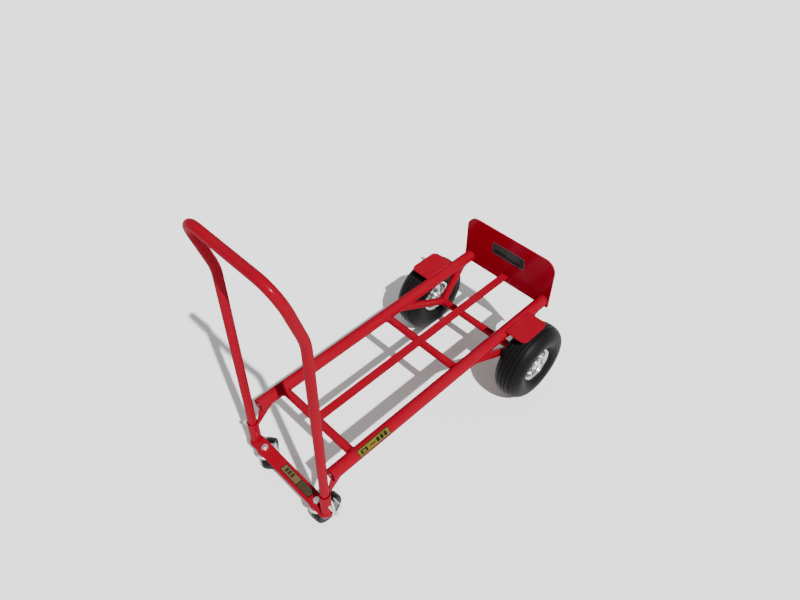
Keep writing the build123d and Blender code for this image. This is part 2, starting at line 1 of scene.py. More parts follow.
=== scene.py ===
"""Convertible hand truck: the looks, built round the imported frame.

The tyres, rims, valve stems, caster tyres, king nuts and weld beads are surfaces worked out from formulas.
The frame's own parts keep their shape, and get painted, plated and moulded finishes.
"""

import json
from math import radians

import bmesh
import bpy
import numpy as np
from bpy.props import FloatProperty, FloatVectorProperty, IntProperty, PointerProperty
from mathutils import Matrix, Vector


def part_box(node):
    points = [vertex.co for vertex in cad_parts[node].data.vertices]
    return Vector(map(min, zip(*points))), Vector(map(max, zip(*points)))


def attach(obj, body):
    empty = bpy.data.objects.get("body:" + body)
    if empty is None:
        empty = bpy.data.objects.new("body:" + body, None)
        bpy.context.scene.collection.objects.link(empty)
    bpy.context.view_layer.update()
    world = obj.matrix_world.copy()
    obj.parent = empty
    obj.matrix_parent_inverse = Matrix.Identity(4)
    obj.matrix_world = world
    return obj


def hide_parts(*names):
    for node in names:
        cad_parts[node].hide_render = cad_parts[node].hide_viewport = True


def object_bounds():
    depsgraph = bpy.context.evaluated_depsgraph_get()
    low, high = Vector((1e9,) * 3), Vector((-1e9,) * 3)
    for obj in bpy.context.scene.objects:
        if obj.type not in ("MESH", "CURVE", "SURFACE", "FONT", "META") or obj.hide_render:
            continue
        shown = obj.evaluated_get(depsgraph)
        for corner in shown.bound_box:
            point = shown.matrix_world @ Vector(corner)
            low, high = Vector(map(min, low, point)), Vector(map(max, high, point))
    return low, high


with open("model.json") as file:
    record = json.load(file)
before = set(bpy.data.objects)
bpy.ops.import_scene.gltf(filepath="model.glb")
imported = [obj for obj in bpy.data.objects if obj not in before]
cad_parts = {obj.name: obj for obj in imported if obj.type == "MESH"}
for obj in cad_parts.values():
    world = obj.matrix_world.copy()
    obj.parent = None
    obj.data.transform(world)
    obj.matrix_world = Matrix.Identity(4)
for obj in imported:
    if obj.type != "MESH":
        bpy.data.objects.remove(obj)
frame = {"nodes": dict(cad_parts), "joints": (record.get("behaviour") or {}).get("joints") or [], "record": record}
CAD_BOX = [list(corner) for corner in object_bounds()]

bl_info = {
    "name": "Hand Truck Looks",
    "version": (1, 0, 0),
    "blender": (4, 5, 0),
    "location": "3D View > Sidebar > Hand Truck",
    "description": "Builds the tyres, rims, welds and finishes of a convertible hand truck",
    "category": "Object",
}

SIDES = {"left": 1, "right": -1}
STRUT_REACH = {"front": 0.098, "rear": -0.238}  # along the rail, from above the axle
# Rounds the shading normal, and sets how wide the lighter painted edges are, which are partly a painted highlight.
EDGE_ROUNDING_RADIUS = 0.0012
RIB_DEGREES = (42, 84, 6, 4.2)  # from, to, fade and pitch, as lean from the crown
RING_DEGREES = (103.0, 114.0, 132.0)
RING_FADE = 1.6
STAR_RISE = (0.0235, 0.005)  # radius where the rim's lobes start, and how far they take to rise
STAR_FALL = (0.0375, 0.004)
STEM_FLUTES = 16
MOULD_LINE = (0.0004, 0.0009)  # height and half width
NUT_BORE_SHARE = 0.65  # shares of the half flats under this mean the bore
BAIL_BENDS = (0.00195, 0.010)
LEG_SLOPE = 0.022  # of the sockets and legs
STRIP_WELD_HALF = 0.006
SOCKET_WELD_MARGIN = 0.002
FLOOR_GAP = 0.0003
FLOOR_LINES = 9


# ---- sizes and colours a user would change ----
class TruckTyreSettings(bpy.types.PropertyGroup):
    """The main tyres' tread and sidewalls."""

    bead_radius: FloatProperty(name="Bead Radius", description="Where the sidewall meets the rim",
                               default=0.0605, unit="LENGTH")
    bead_half: FloatProperty(name="Bead Half Width", description="Middle plane to the bead's outer face",
                             default=0.0299, unit="LENGTH")
    seat_radius: FloatProperty(name="Seat Radius", description="Inner radius, on the rim",
                               default=0.0509, unit="LENGTH")
    carcass: FloatProperty(name="Carcass", description="Thickness of the wall", default=0.007, unit="LENGTH")
    squareness: FloatProperty(name="Squareness", description="Power of the tread's curve, 2 is an ellipse",
                              default=2.35, min=2.0)
    groove_depth: FloatProperty(name="Groove Depth", description="Depth of the four tread grooves",
                                default=0.0026, unit="LENGTH")
    groove_width: FloatProperty(name="Groove Width", description="Width of a tread groove",
                                default=0.0034, unit="LENGTH")
    groove_spacing: FloatProperty(name="Groove Spacing", description="Between neighbouring grooves",
                                  default=0.0145, unit="LENGTH")
    teeth: IntProperty(name="Teeth", description="Saw teeth round each groove", default=64)
    tooth_height: FloatProperty(name="Tooth Height", description="Sideways reach of a saw tooth",
                                default=0.0012, unit="LENGTH")
    rib_height: FloatProperty(name="Rib Height", description="Height of the fine shoulder ribs",
                              default=0.0005, unit="LENGTH")
    ring_height: FloatProperty(name="Ring Height", description="Height of the sidewall's raised rings",
                               default=0.0008, unit="LENGTH")


class TruckWheelSettings(bpy.types.PropertyGroup):
    """The pressed rims, valve stems, caster tyres and king nuts."""

    rim_sheet: FloatProperty(name="Rim Sheet", description="Thickness of the pressed rim",
                             default=0.0024, unit="LENGTH")
    star_lift: FloatProperty(name="Star Lift", description="Height of the lobes pressed between the bolts",
                             default=0.004, unit="LENGTH")
    caster_half_width: FloatProperty(name="Caster Half Width", description="Half the width of a caster tyre",
                                     default=0.016, unit="LENGTH")
    caster_squareness: FloatProperty(name="Caster Squareness", description="Power of the caster tyre's curve",
                                     default=5.0, min=2.0)
    nut_flats: FloatProperty(name="Nut Flats", description="King nut across its flats",
                             default=0.019, unit="LENGTH")
    nut_bore: FloatProperty(name="Nut Bore", description="King nut's bore", default=0.0121, unit="LENGTH")


class TruckWeldSettings(bpy.types.PropertyGroup):
    """The weld beads."""

    radius: FloatProperty(name="Bead Radius", description="Radius of a weld bead", default=0.0026,
                          unit="LENGTH")
    ripple: FloatProperty(name="Ripple", description="Share of the radius that the ripples add", default=0.16)
    pitch: FloatProperty(name="Pitch", description="Distance between two ripples", default=0.0026,
                         unit="LENGTH")


class TruckFinishSettings(bpy.types.PropertyGroup):
    """The colours."""

    enamel: FloatVectorProperty(name="Enamel", description="Red gloss enamel", subtype="COLOR",
                                default=(0.20, 0.0006, 0.009))
    tyre: FloatVectorProperty(name="Tyre", description="Tyre rubber", subtype="COLOR",
                              default=(0.0045, 0.0044, 0.0041))
    zinc: FloatVectorProperty(name="Zinc", description="Bright zinc plate", subtype="COLOR",
                              default=(0.88, 0.88, 0.88))
    dust: FloatVectorProperty(name="Dust", description="Dust that lies on the upper faces", subtype="COLOR",
                              default=(0.40, 0.36, 0.32))
    dust_share: FloatProperty(name="Dust Share", description="How much of the dust shows", default=0.012,
                              subtype="FACTOR")


class TruckStageSettings(bpy.types.PropertyGroup):
    """The floor, the light and the camera."""

    floor_colour: FloatVectorProperty(name="Floor", description="Colour of the floor", subtype="COLOR",
                                      default=(0.87, 0.87, 0.87))
    floor_size: FloatProperty(name="Floor Size", description="Side of the square floor", default=40.0,
                              unit="LENGTH")
    sky: FloatProperty(name="Sky", description="Strength of the even light", default=0.5)
    sun: FloatProperty(name="Sun", description="Strength of the main light", default=8.0)
    sun_angle: FloatProperty(name="Sun Angle", description="Angle that the main light fills", subtype="ANGLE",
                             default=radians(0.9))
    sun_direction: FloatVectorProperty(name="Sun Direction", description="Way the main light travels",
                                       subtype="DIRECTION", default=(0.22, 0.74, -1.0))
    camera_place: FloatVectorProperty(name="Camera Place", description="Where the camera stands",
                                      subtype="TRANSLATION", default=(-0.9219, -0.9202, 1.8172))
    camera_turn: FloatVectorProperty(name="Camera Turn", description="How the camera is turned",
                                     subtype="EULER", default=(radians(44.77), 0.0, radians(-44.71)))
    lens: FloatProperty(name="Lens", description="Focal length on a 36 mm frame", default=30.06,
                        unit="CAMERA")


# ---- surfaces ----
def grid_faces(rows, columns, wrap_rows, wrap_columns, first):
    """Quads between neighbouring points of a grid; a wrapped side joins its last line to its first."""
    row = np.arange(rows if wrap_rows else rows - 1)
    column = np.arange(columns if wrap_columns else columns - 1)
    row, column = np.meshgrid(row, column, indexing="ij")
    next_row, next_column = (row + 1) % rows, (column + 1) % columns
    corners = [(row, column), (row, next_column), (next_row, next_column), (next_row, column)]
    return np.stack([r * columns + c for r, c in corners], axis=-1).reshape(-1, 4) + first


def surface_piece(name, sheets, material, body, replaces=()):
    """One object from grids of points, each given as (points, rows wrap, columns wrap)."""
    points, faces, first = [], [], 0
    for sheet, wrap_rows, wrap_columns in sheets:
        rows, columns, _ = sheet.shape
        points.append(sheet.reshape(-1, 3))
        faces.append(grid_faces(rows, columns, wrap_rows, wrap_columns, first))
        first += rows * columns
    mesh = bpy.data.meshes.new(name)
    mesh.from_pydata(np.concatenate(points).tolist(), [], np.concatenate(faces).tolist())
    work = bmesh.new()
    work.from_mesh(mesh)
    bmesh.ops.remove_doubles(work, verts=work.verts, dist=1e-6)
    bmesh.ops.recalc_face_normals(work, faces=work.faces)
    work.to_mesh(mesh)
    work.free()
    mesh.shade_smooth()
    mesh.set_sharp_from_angle(angle=radians(40))
    mesh.materials.append(material)
    piece = bpy.data.objects.new(name, mesh)
    bpy.context.scene.collection.objects.link(piece)
    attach(piece, body)
    if replaces:
        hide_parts(*replaces)
    return piece


def box_middle(node):
    """The middle of a node's box."""
    low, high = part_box(node)
    return np.array((low + high) / 2)


def joint_line(name):
    """(a point, the unit direction) of a joint's axis."""
    joint = next(j for j in frame["joints"] if j["name"] == name)
    axis = np.array(joint["axis"], float)
    return np.array(joint["pos_m"], float), axis / np.linalg.norm(axis)


def revolved(centre, axis, radius, along, turn):
    """Points at a radius from an axis, at a distance along it, for each turn about it.

    Point = centre + axis * along + radius * (cos(turn) * first + sin(turn) * second), where first and second
    are square to the axis and to each other.
    """
    up = np.array([0.0, 0.0, 1.0]) if abs(axis[2]) < 0.9 else np.array([1.0, 0.0, 0.0])
    first = np.cross(axis, up)
    first /= np.linalg.norm(first)
    second = np.cross(axis, first)
    out = np.cos(turn)[..., None] * first + np.sin(turn)[..., None] * second
    return centre + along[..., None] * axis + radius[..., None] * out


def smooth_step(value):
    """0 below 0, 1 above 1, and 3 v^2 - 2 v^3 between."""
    value = np.clip(value, 0.0, 1.0)
    return value * value * (3 - 2 * value)


def full_turn(count):
    """Evenly spaced turns as a column."""
    return np.linspace(0, 2 * np.pi, count, endpoint=False)[:, None]


def tyre_points(tyre, radius, half_width, centre, axis):
    """A moulded tyre as one closed surface of (turn, lean).

    The outer wall leans from bead to bead through the crown: offset = half width * sin(lean)^(2/p) and
    radius = widest + rise * cos(lean)^(2/p), with p = 2 below the widest place. Grooves, ribs and rings move
    it along (cos(lean), sin(lean)). The inner wall is the same curve, one carcass smaller.
    """
    widest = (radius + tyre.seat_radius) / 2 + 0.002
    end_sine = tyre.bead_half / half_width
    end_lean = np.pi - np.arcsin(end_sine)
    fall = (widest - tyre.bead_radius) / np.sqrt(1 - end_sine**2)
    turn = full_turn(6 * tyre.teeth)
    lean = np.linspace(-end_lean, end_lean, 221)[None, :]

    def wall(lean, inset):
        sine, cosine = np.sin(lean), np.cos(lean)
        power = np.where(cosine > 0, 2 / tyre.squareness, 1.0)
        offset = (half_width - inset) * np.sign(sine) * np.abs(sine) ** power
        rise = np.where(cosine > 0, radius - inset - widest, fall - inset)
        return widest + rise * np.sign(cosine) * np.abs(cosine) ** power, offset

    out, across = wall(lean, 0.0)
    saw = 2 * np.abs((turn * tyre.teeth / (2 * np.pi)) % 1.0 - 0.5) - 0.5
    grooves = sum(
        smooth_step(2.2 * (1 - np.abs(across - n * tyre.groove_spacing - tyre.tooth_height * saw)
                           / (tyre.groove_width / 2)))
        for n in (-1.5, -0.5, 0.5, 1.5)
    )
    degrees = np.degrees(np.abs(lean))
    rib_from, rib_to, fade, pitch = RIB_DEGREES
    shoulder = smooth_step((degrees - rib_from) / fade) * (1 - smooth_step((degrees - rib_to) / fade))
    ribs = shoulder * (0.5 - 0.5 * np.cos(degrees * 2 * np.pi / pitch))
    rings = sum(smooth_step(RING_FADE - np.abs(degrees - at) / RING_FADE) for at in RING_DEGREES)
    move = tyre.ring_height * rings - tyre.rib_height * ribs - tyre.groove_depth * grooves
    out = out + move * np.cos(lean)
    across = across + move * np.sin(lean)

    inner_out, inner_across = wall(np.linspace(end_lean, -end_lean, 41)[None, :], tyre.carcass)
    inner_out = np.maximum(inner_out, tyre.seat_radius + 0.001)
    foot = np.array([[tyre.seat_radius, tyre.seat_radius]])
    foot_across = np.array([[tyre.bead_half, tyre.bead_half - tyre.carcass]])
    flat = [(foot, foot_across), (inner_out, inner_across), (foot, -foot_across[:, ::-1])]
    shape = (turn.shape[0], 1)
    out = np.concatenate([out] + [np.tile(r, shape) for r, _ in flat], axis=1)
    across = np.concatenate([across] + [np.tile(a, shape) for _, a in flat], axis=1)
    return revolved(centre, axis, out, across, np.broadcast_to(turn, out.shape))


def cut_corners(path, times):
    """A line of points with its corners cut: each run gives its points at a quarter and three quarters."""
    for _ in range(times):
        start, end = path[:-1], path[1:]
        quarters = np.stack([0.75 * start + 0.25 * end, 0.25 * start + 0.75 * end], axis=1).reshape(-1, 2)
        path = np.concatenate([path[:1], quarters, path[-1:]])
    return path


def rim_points(wheel, centre, axis, out_sign):
    """A pressed rim half of (turn, way along its section).

    The section is a line of (radius, offset) from the hub over the disc, the well and the flange to the
    rolled lip, thickened by half the sheet to each side. Lobes lift the disc by cos(2 turn)^6 between the bolts.
    """
    section = np.array([
        (0.0221, 0.0013), (0.0250, 0.0013), (0.0280, 0.0013), (0.0310, 0.0013), (0.0340, 0.0013),
        (0.0370, 0.0013), (0.0410, 0.0013), (0.0496, 0.0120), (0.0496, 0.0312), (0.0575, 0.0312),
        (0.0592, 0.0328), (0.0572, 0.0342),
    ])
    line = cut_corners(section, 3)
    along = np.gradient(line, axis=0)
    normal = np.stack([-along[:, 1], along[:, 0]], axis=1)
    normal /= np.linalg.norm(normal, axis=1)[:, None]
    loop = np.concatenate([line + normal * wheel.rim_sheet / 2, (line - normal * wheel.rim_sheet / 2)[::-1]])
    turn = full_turn(144)
    out = np.tile(loop[None, :, 0], (144, 1))
    rise, fall = (smooth_step((out - radius) / length) for radius, length in (STAR_RISE, STAR_FALL))
    star = rise * (1 - fall)
    offset = loop[None, :, 1] + wheel.star_lift * star * np.cos(2 * turn) ** 6
    return revolved(centre, axis, out, out_sign * offset, np.broadcast_to(turn, out.shape))


def stem_points(foot, axis, length, radius):
    """A valve stem of (turn, way along it): a taper, a neck and a fluted cap, closed at both ends."""
    way = np.array([0, 0, 0.30, 0.52, 0.56, 0.60, 0.61, 0.70, 0.80, 0.90, 0.96, 1.0, 1.0])
    size = np.array([0, 1.0, 0.86, 0.80, 0.62, 0.62, 0.94, 0.96, 0.96, 0.96, 0.90, 0.70, 0])
    turn = full_turn(96)
    flutes = np.where((way > 0.6) & (way < 0.95), 0.05, 0.0)[None, :]
    out = radius * size[None, :] * (1 - flutes * (0.5 - 0.5 * np.cos(STEM_FLUTES * turn)))
    along = np.tile(length * way[None, :], (96, 1))
    return revolved(foot, axis, out, along, np.broadcast_to(turn, out.shape))


def caster_tyre_points(wheel, centre, axis, radius, inner):
    """A caster tyre of (turn, lean), with a fine mould line round its middle: offset = half width *
    sin(lean)^(2/p) and radius = inner + rise * cos(lean)^(2/p)."""
    lean = np.linspace(-np.pi / 2, np.pi / 2, 49)[None, :]
    turn = full_turn(120)
    power = 2 / wheel.caster_squareness
    across = wheel.caster_half_width * np.sign(lean) * np.abs(np.sin(lean)) ** power
    line_height, line_half = MOULD_LINE
    mould_line = line_height * (1 - smooth_step(np.abs(across) / line_half))
    out = inner + (radius - line_height - inner) * np.abs(np.cos(lean)) ** power + mould_line
    out, across = np.tile(out, (120, 1)), np.tile(across, (120, 1))
    return revolved(centre, axis, out, across, np.broadcast_to(turn, out.shape))


def nut_points(wheel, foot, height):
    """A chamfered hexagonal nut of (turn, way round its section): half flats / cos(turn from the nearest
    flat), cut by a cone at both ends."""
    turn = full_turn(144)
    flat = wheel.nut_flats / 2
    hexagon = flat / np.cos((turn + np.pi / 6) % (np.pi / 3) - np.pi / 6)
    way = np.array([0, 0, 0.10, 0.22, 0.78, 0.86, 0.94, 1.0, 1.0, 0.97, 0.03])[None, :]
    cone = np.array([0.99, 1.02, 1.10, 1.2, 1.2, 1.13, 1.06, 0.99, 0.72, 0.64, 0.64])[None, :]
    out = np.minimum(hexagon, flat * cone)
    out = np.where(cone < NUT_BORE_SHARE, wheel.nut_bore / 2, out)
    along = np.tile(height * way, (144, 1))
    return revolved(foot, np.array([0.0, 0.0, 1.0]), out, along, np.broadcast_to(turn, out.shape))


def rounded_corner(before, corner, after, radius):
    """Points on the arc that rounds a square corner: corner + radius * ((1 - sin(a)) towards the point before
    + (1 - cos(a)) towards the point after)."""
    start = (before - corner) / np.linalg.norm(before - corner)
    end = (after - corner) / np.linalg.norm(after - corner)
    angle = np.linspace(0, np.pi / 2, 13)[:, None]
    return corner + radius * ((1 - np.sin(angle)) * start + (1 - np.cos(angle)) * end)


def bail_points(wire, foot, corner, out, back):
    """A bent wire of (way along it, turn): path + size * (cos(a) first + sin(a) second), where the size falls
    to nothing at both ends. It rises from its foot, turns out at a tight corner and back at a wide one."""
    tight, wide = BAIL_BENDS
    rise = rounded_corner(foot, corner, out, tight)
    turn = rounded_corner(corner, out, back, wide)
    path = np.concatenate([foot[None], foot[None], rise, turn, back[None], back[None]])
    along = np.gradient(np.concatenate([foot[None], rise, turn, back[None]]), axis=0)
    along = np.concatenate([along[:1], along, along[-1:]])
    along /= np.linalg.norm(along, axis=1)[:, None]
    flat = (np.arange(len(path)) >= 2 + len(rise))[:, None]
    across, up = np.array([0.0, 1.0, 0.0]), np.array([0.0, 0.0, 1.0])
    first = np.where(flat, np.cross(up, along), across)
    second = np.where(flat, up, np.cross(along, across))
    size = np.full(len(path), wire)
    size[[0, -1]] = 0.0
    around = np.linspace(0, 2 * np.pi, 24, endpoint=False)[None, :, None]
    return path[:, None, :] + size[:, None, None] * (
        np.cos(around) * first[:, None, :] + np.sin(around) * second[:, None, :]
    )


def bead(weld, path, first, second, closed):
    """A weld bead as a rippled tube: path + radius * (cos(a) first + sin(a) second), with
    radius = bead * (1 + ripple * |sin(pi * length / pitch)|). An open bead's ends fall to nothing."""
    steps = np.linalg.norm(np.diff(path, axis=0), axis=1)
    length = np.concatenate([[0.0], np.cumsum(steps)])
    total = length[-1] + (np.linalg.norm(path[0] - path[-1]) if closed else 0.0)
    ripples = max(1, round(total / weld.pitch))
    share = length / total
    size = weld.radius * (1 + weld.ripple * np.abs(np.sin(np.pi * ripples * share)))
    if not closed:
        size = size * np.sqrt(np.clip(1 - np.abs(2 * share - 1) ** 8, 0, 1))
    around = np.linspace(0, 2 * np.pi, 10, endpoint=False)[None, :, None]
    points = path[:, None, :] + size[:, None, None] * (
        np.cos(around) * first[:, None, :] + np.sin(around) * second[:, None, :]
    )
    return points, closed, True


def ring_bead(weld, foot, axis, radius, reach):
    """A bead where a round tube ends on another surface: foot + radius * out(turn) + axis * reach(out)."""
    turn = full_turn(180)
    rim = revolved(np.zeros(3), axis, np.full(turn.shape, radius), np.zeros(turn.shape), turn)[:, 0, :]
    path = foot + rim + reach(rim)[:, None] * axis
    return bead(weld, path, rim / radius, np.tile(axis, (180, 1)), True)


def line_bead(weld, start, end, first, second):
    """A bead along a straight seam."""
    count = max(12, int(np.linalg.norm(np.subtract(end, start)) / weld.pitch * 5))
    share = np.linspace(0, 1, count)[:, None]
    path = np.array(start) * (1 - share) + np.array(end) * share
    return bead(weld, path, np.tile(np.array(first, float), (count, 1)),
                np.tile(np.array(second, float), (count, 1)), False)


# ---- shader nodes ----
class Graph:
    """Adds nodes to one node tree and joins them."""

    def __init__(self, tree):
        self.tree = tree

    def add(self, kind, values=None, **settings):
        node = self.tree.nodes.new(kind)
        for name, value in settings.items():
            setattr(node, name, value)
        for key, value in (values or {}).items():
            if isinstance(value, bpy.types.NodeSocket):
                self.tree.links.new(value, node.inputs[key])
            else:
                node.inputs[key].default_value = value
        return node

    def math(self, operation, first, second=0.0, clamp=False):
        node = self.add("ShaderNodeMath", {0: first, 1: second}, operation=operation, use_clamp=clamp)
        return node.outputs[0]

    def mix(self, share, first, second):
        node = self.add("ShaderNodeMix", {0: share, 6: first, 7: second}, data_type="RGBA")
        return node.outputs[2]

    def noise(self, vector, scale, detail=3.0, roughness=0.5):
        values = {"Vector": vector, "Scale": scale, "Detail": detail, "Roughness": roughness}
        return self.add("ShaderNodeTexNoise", values).outputs["Fac"]

    def ramp(self, value, low, high):
        values = {"Value": value, "From Min": low, "From Max": high, "To Min": 0.0, "To Max": 1.0}
        return self.add("ShaderNodeMapRange", values, clamp=True).outputs["Result"]

    def group(self, tree, values):
        node = self.add("ShaderNodeGroup")
        node.node_tree = tree
        for key, value in values.items():
            if isinstance(value, bpy.types.NodeSocket):
                self.tree.links.new(value, node.inputs[key])
            else:
                node.inputs[key].default_value = value
        return node


def new_group(name, inputs, outputs):
    """An empty node group with named sockets, as (tree, graph, its input sockets, its output node)."""
    tree = bpy.data.node_groups.new(name, "ShaderNodeTree")
    for label, kind in inputs:
        tree.interface.new_socket(label, in_out="INPUT", socket_type=kind)
    for label, kind in outputs:
        tree.interface.new_socket(label, in_out="OUTPUT", socket_type=kind)
    graph = Graph(tree)
    entry = graph.add("NodeGroupInput")
    leave = graph.add("NodeGroupOutput")
    return tree, graph, entry.outputs, leave


def found_or_made(name, make):
    """The node group of that name, built once."""
    return bpy.data.node_groups.get(name) or make(name)


def make_surface_grain(name):
    """Height from a coarse and a fine noise, mixed by a share."""
    inputs = [("Vector", "NodeSocketVector"), ("Coarse", "NodeSocketFloat"), ("Fine", "NodeSocketFloat"),
              ("Fine Share", "NodeSocketFloat")]
    tree, graph, given, leave = new_group(name, inputs, [("Height", "NodeSocketFloat")])
    coarse = graph.noise(given["Vector"], given["Coarse"], 2.0)
    fine = graph.noise(given["Vector"], given["Fine"], 4.0, 0.6)
    fine_part = graph.math("MULTIPLY", fine, given["Fine Share"])
    coarse_part = graph.math("MULTIPLY", coarse, graph.math("SUBTRACT", 1.0, given["Fine Share"]))
    tree.links.new(graph.math("ADD", fine_part, coarse_part), leave.inputs["Height"])
    return tree


def make_dust_film(name):
    """Dust in soft patches on faces that look up."""
    inputs = [("Vector", "NodeSocketVector"), ("Colour", "NodeSocketColor"), ("Dust", "NodeSocketColor"),
              ("Amount", "NodeSocketFloat")]
    outputs = [("Colour", "NodeSocketColor"), ("Mask", "NodeSocketFloat")]
    tree, graph, given, leave = new_group(name, inputs, outputs)
    normal = graph.add("ShaderNodeNewGeometry").outputs["Normal"]
    up = graph.add("ShaderNodeSeparateXYZ", {0: normal}).outputs["Z"]
    facing = graph.ramp(up, 0.1, 0.95)
    patches = graph.ramp(graph.noise(given["Vector"], 14.0, 5.0, 0.6), 0.35, 0.72)
    mask = graph.math("MULTIPLY", graph.math("MULTIPLY", facing, patches), given["Amount"])
    tree.links.new(graph.mix(mask, given["Colour"], given["Dust"]), leave.inputs["Colour"])
    tree.links.new(mask, leave.inputs["Mask"])
    return tree


def make_scuffs(name):
    """Thin scratches: noise stretched along a slant, kept only at its peaks and only in some patches."""
    inputs = [("Vector", "NodeSocketVector"), ("Amount", "NodeSocketFloat")]
    tree, graph, given, leave = new_group(name, inputs, [("Mask", "NodeSocketFloat")])
    values = {"Vector": given["Vector"], "Rotation": (0.5, 0.3, 0.9), "Scale": (14.0, 420.0, 420.0)}
    stretched = graph.add("ShaderNodeMapping", values).outputs["Vector"]
    lines = graph.ramp(graph.noise(stretched, 1.0, 2.0), 0.66, 0.74)
    patches = graph.ramp(graph.noise(given["Vector"], 9.0, 2.0), 0.50, 0.66)
    mask = graph.math("MULTIPLY", graph.math("MULTIPLY", lines, patches), given["Amount"])
    tree.links.new(mask, leave.inputs["Mask"])
    return tree


def make_edge_rub_and_highlight(name):
    """A broken mask along edges, from how far a rounded normal leaves the true one; it marks where edges are
    painted lighter, partly as rubbed paint and partly as a painted highlight.
    """
    inputs = [("Vector", "NodeSocketVector"), ("Rounded", "NodeSocketVector"), ("Amount", "NodeSocketFloat")]
    tree, graph, given, leave = new_group(name, inputs, [("Mask", "NodeSocketFloat")])
    normal = graph.add("ShaderNodeNewGeometry").outputs["Normal"]
    dot = graph.add("ShaderNodeVectorMath", {0: given["Rounded"], 1: normal}, operation="DOT_PRODUCT")
    edge = graph.ramp(graph.math("SUBTRACT", 1.0, dot.outputs["Value"]), 0.03, 0.14)
    broken = graph.ramp(graph.noise(given["Vector"], 160.0, 4.0, 0.65), 0.42, 0.62)
    mask = graph.math("MULTIPLY", graph.math("MULTIPLY", edge, broken), given["Amount"])
    tree.links.new(mask, leave.inputs["Mask"])
    return tree


def make_panel(name):
    """1 inside an upright rectangle of a flat pattern, and 0 outside it."""
    inputs = [(label, "NodeSocketFloat") for label in ("U", "V", "Middle U", "Middle V", "Half U", "Half V")]
    tree, graph, given, leave = new_group(name, inputs, [("Mask", "NodeSocketFloat")])
    sides = []
    for letter in ("U", "V"):
        away = graph.math("ABSOLUTE", graph.math("SUBTRACT", given[letter], given["Middle " + letter]))
        sides.append(graph.math("LESS_THAN", away, given["Half " + letter]))
    tree.links.new(graph.math("MULTIPLY", *sides), leave.inputs["Mask"])
    return tree


def new_material(name):
    """A material with its graph, its object coordinates and its Principled shader."""
    material = bpy.data.materials.new(f"{name}_finish")
    material.use_nodes = True
    graph = Graph(material.node_tree)
    shader = material.node_tree.nodes["Principled BSDF"]
    place = graph.add("ShaderNodeTexCoord").outputs["Object"]
    return material, graph, place, shader


def rgba(colour, gain=1.0):
    return (*(gain * c for c in colour), 1.0)


def finish(name, colour, shade, roughness, metallic=0.0, coat=0.0, specular=0.5,
           grain=(60.0, 900.0, 0.4, 0.02), dust=1.0, scuffs=0.0, wear=0.0,
           rub_and_highlight_colour=(0.3, 0.3, 0.3), roughness_spread=0.08):
    """A finish over a whole piece: colour clouds, scuffs, edges painted lighter (partly rubbed paint, partly a
    painted highlight), dust, uneven gloss and fine relief.

    grain is (coarse scale, fine scale, share of the fine, height in mm).
    """
    truck = bpy.context.scene.truck_finish
    material, graph, place, shader = new_material(name)
    clouds = graph.ramp(graph.noise(place, 7.0, 4.0), 0.3, 0.7)
    tint = graph.mix(clouds, rgba(colour), rgba(colour, shade))
    scratches = graph.group(found_or_made("Scuffs", make_scuffs), {"Vector": place, "Amount": scuffs})
    tint = graph.mix(scratches.outputs["Mask"], tint, rgba(rub_and_highlight_colour))
    rounded = graph.add("ShaderNodeBevel", {"Radius": EDGE_ROUNDING_RADIUS}, samples=4).outputs["Normal"]
    rubbed_and_highlit_edges = graph.group(found_or_made("Edge Wear", make_edge_rub_and_highlight),
                       {"Vector": place, "Rounded": rounded, "Amount": wear})
    # Edges are painted lighter here: partly rubbed paint, partly a painted highlight.
    tint = graph.mix(rubbed_and_highlit_edges.outputs["Mask"], tint, rgba(rub_and_highlight_colour))
    film = graph.group(found_or_made("Dust Film", make_dust_film),
                       {"Vector": place, "Colour": tint, "Dust": rgba(truck.dust),
                        "Amount": dust * truck.dust_share})
    graph.tree.links.new(film.outputs["Colour"], shader.inputs["Base Color"])
    gloss = graph.noise(place, 22.0, 3.0)
    spread = graph.math("MULTIPLY", graph.math("SUBTRACT", gloss, 0.5), 2 * roughness_spread)
    dulled = graph.math("ADD", spread, graph.math("MULTIPLY", film.outputs["Mask"], 0.5))
    graph.tree.links.new(graph.math("ADD", dulled, roughness, clamp=True), shader.inputs["Roughness"])
    coarse, fine, share, height = grain
    relief = graph.group(found_or_made("Surface Grain", make_surface_grain),
                         {"Vector": place, "Coarse": coarse, "Fine": fine, "Fine Share": share})
    bump = graph.add("ShaderNodeBump", {"Strength": 1.0, "Distance": height / 1000,
                                        "Height": relief.outputs["Height"], "Normal": rounded})
    graph.tree.links.new(bump.outputs["Normal"], shader.inputs["Normal"])
    shader.inputs["Metallic"].default_value = metallic
    shader.inputs["Specular IOR Level"].default_value = specular
    shader.inputs["Coat Weight"].default_value = coat
    shader.inputs["Coat Roughness"].default_value = 0.18
    return material


def label_finish(name, across, ground, marks):
    """Printed vinyl: plain blocks on a ground.

    across gives the pattern's two coordinates, from -0.5 to 0.5.
    """
    material, graph, place, shader = new_material(name)
    u, v = across(graph, graph.add("ShaderNodeSeparateXYZ", {0: place}).outputs)
    clouds = graph.ramp(graph.noise(place, 120.0, 5.0, 0.6), 0.3, 0.7)
    tint = graph.mix(clouds, rgba(ground), rgba(ground, 0.75))
    for middle_u, middle_v, half_u, half_v, colour in marks:
        panel = graph.group(found_or_made("Panel", make_panel),
                            {"U": u, "V": v, "Middle U": middle_u, "Middle V": middle_v,
                             "Half U": half_u, "Half V": half_v})
        ink = graph.mix(clouds, rgba(colour), rgba(colour, 0.7))
        tint = graph.mix(panel.outputs["Mask"], tint, ink)
    graph.tree.links.new(tint, shader.inputs["Base Color"])
    gloss = graph.math("ADD", graph.math("MULTIPLY", clouds, 0.2), 0.3)
    graph.tree.links.new(gloss, shader.inputs["Roughness"])
    shader.inputs["Specular IOR Level"].default_value = 0.15
    return material


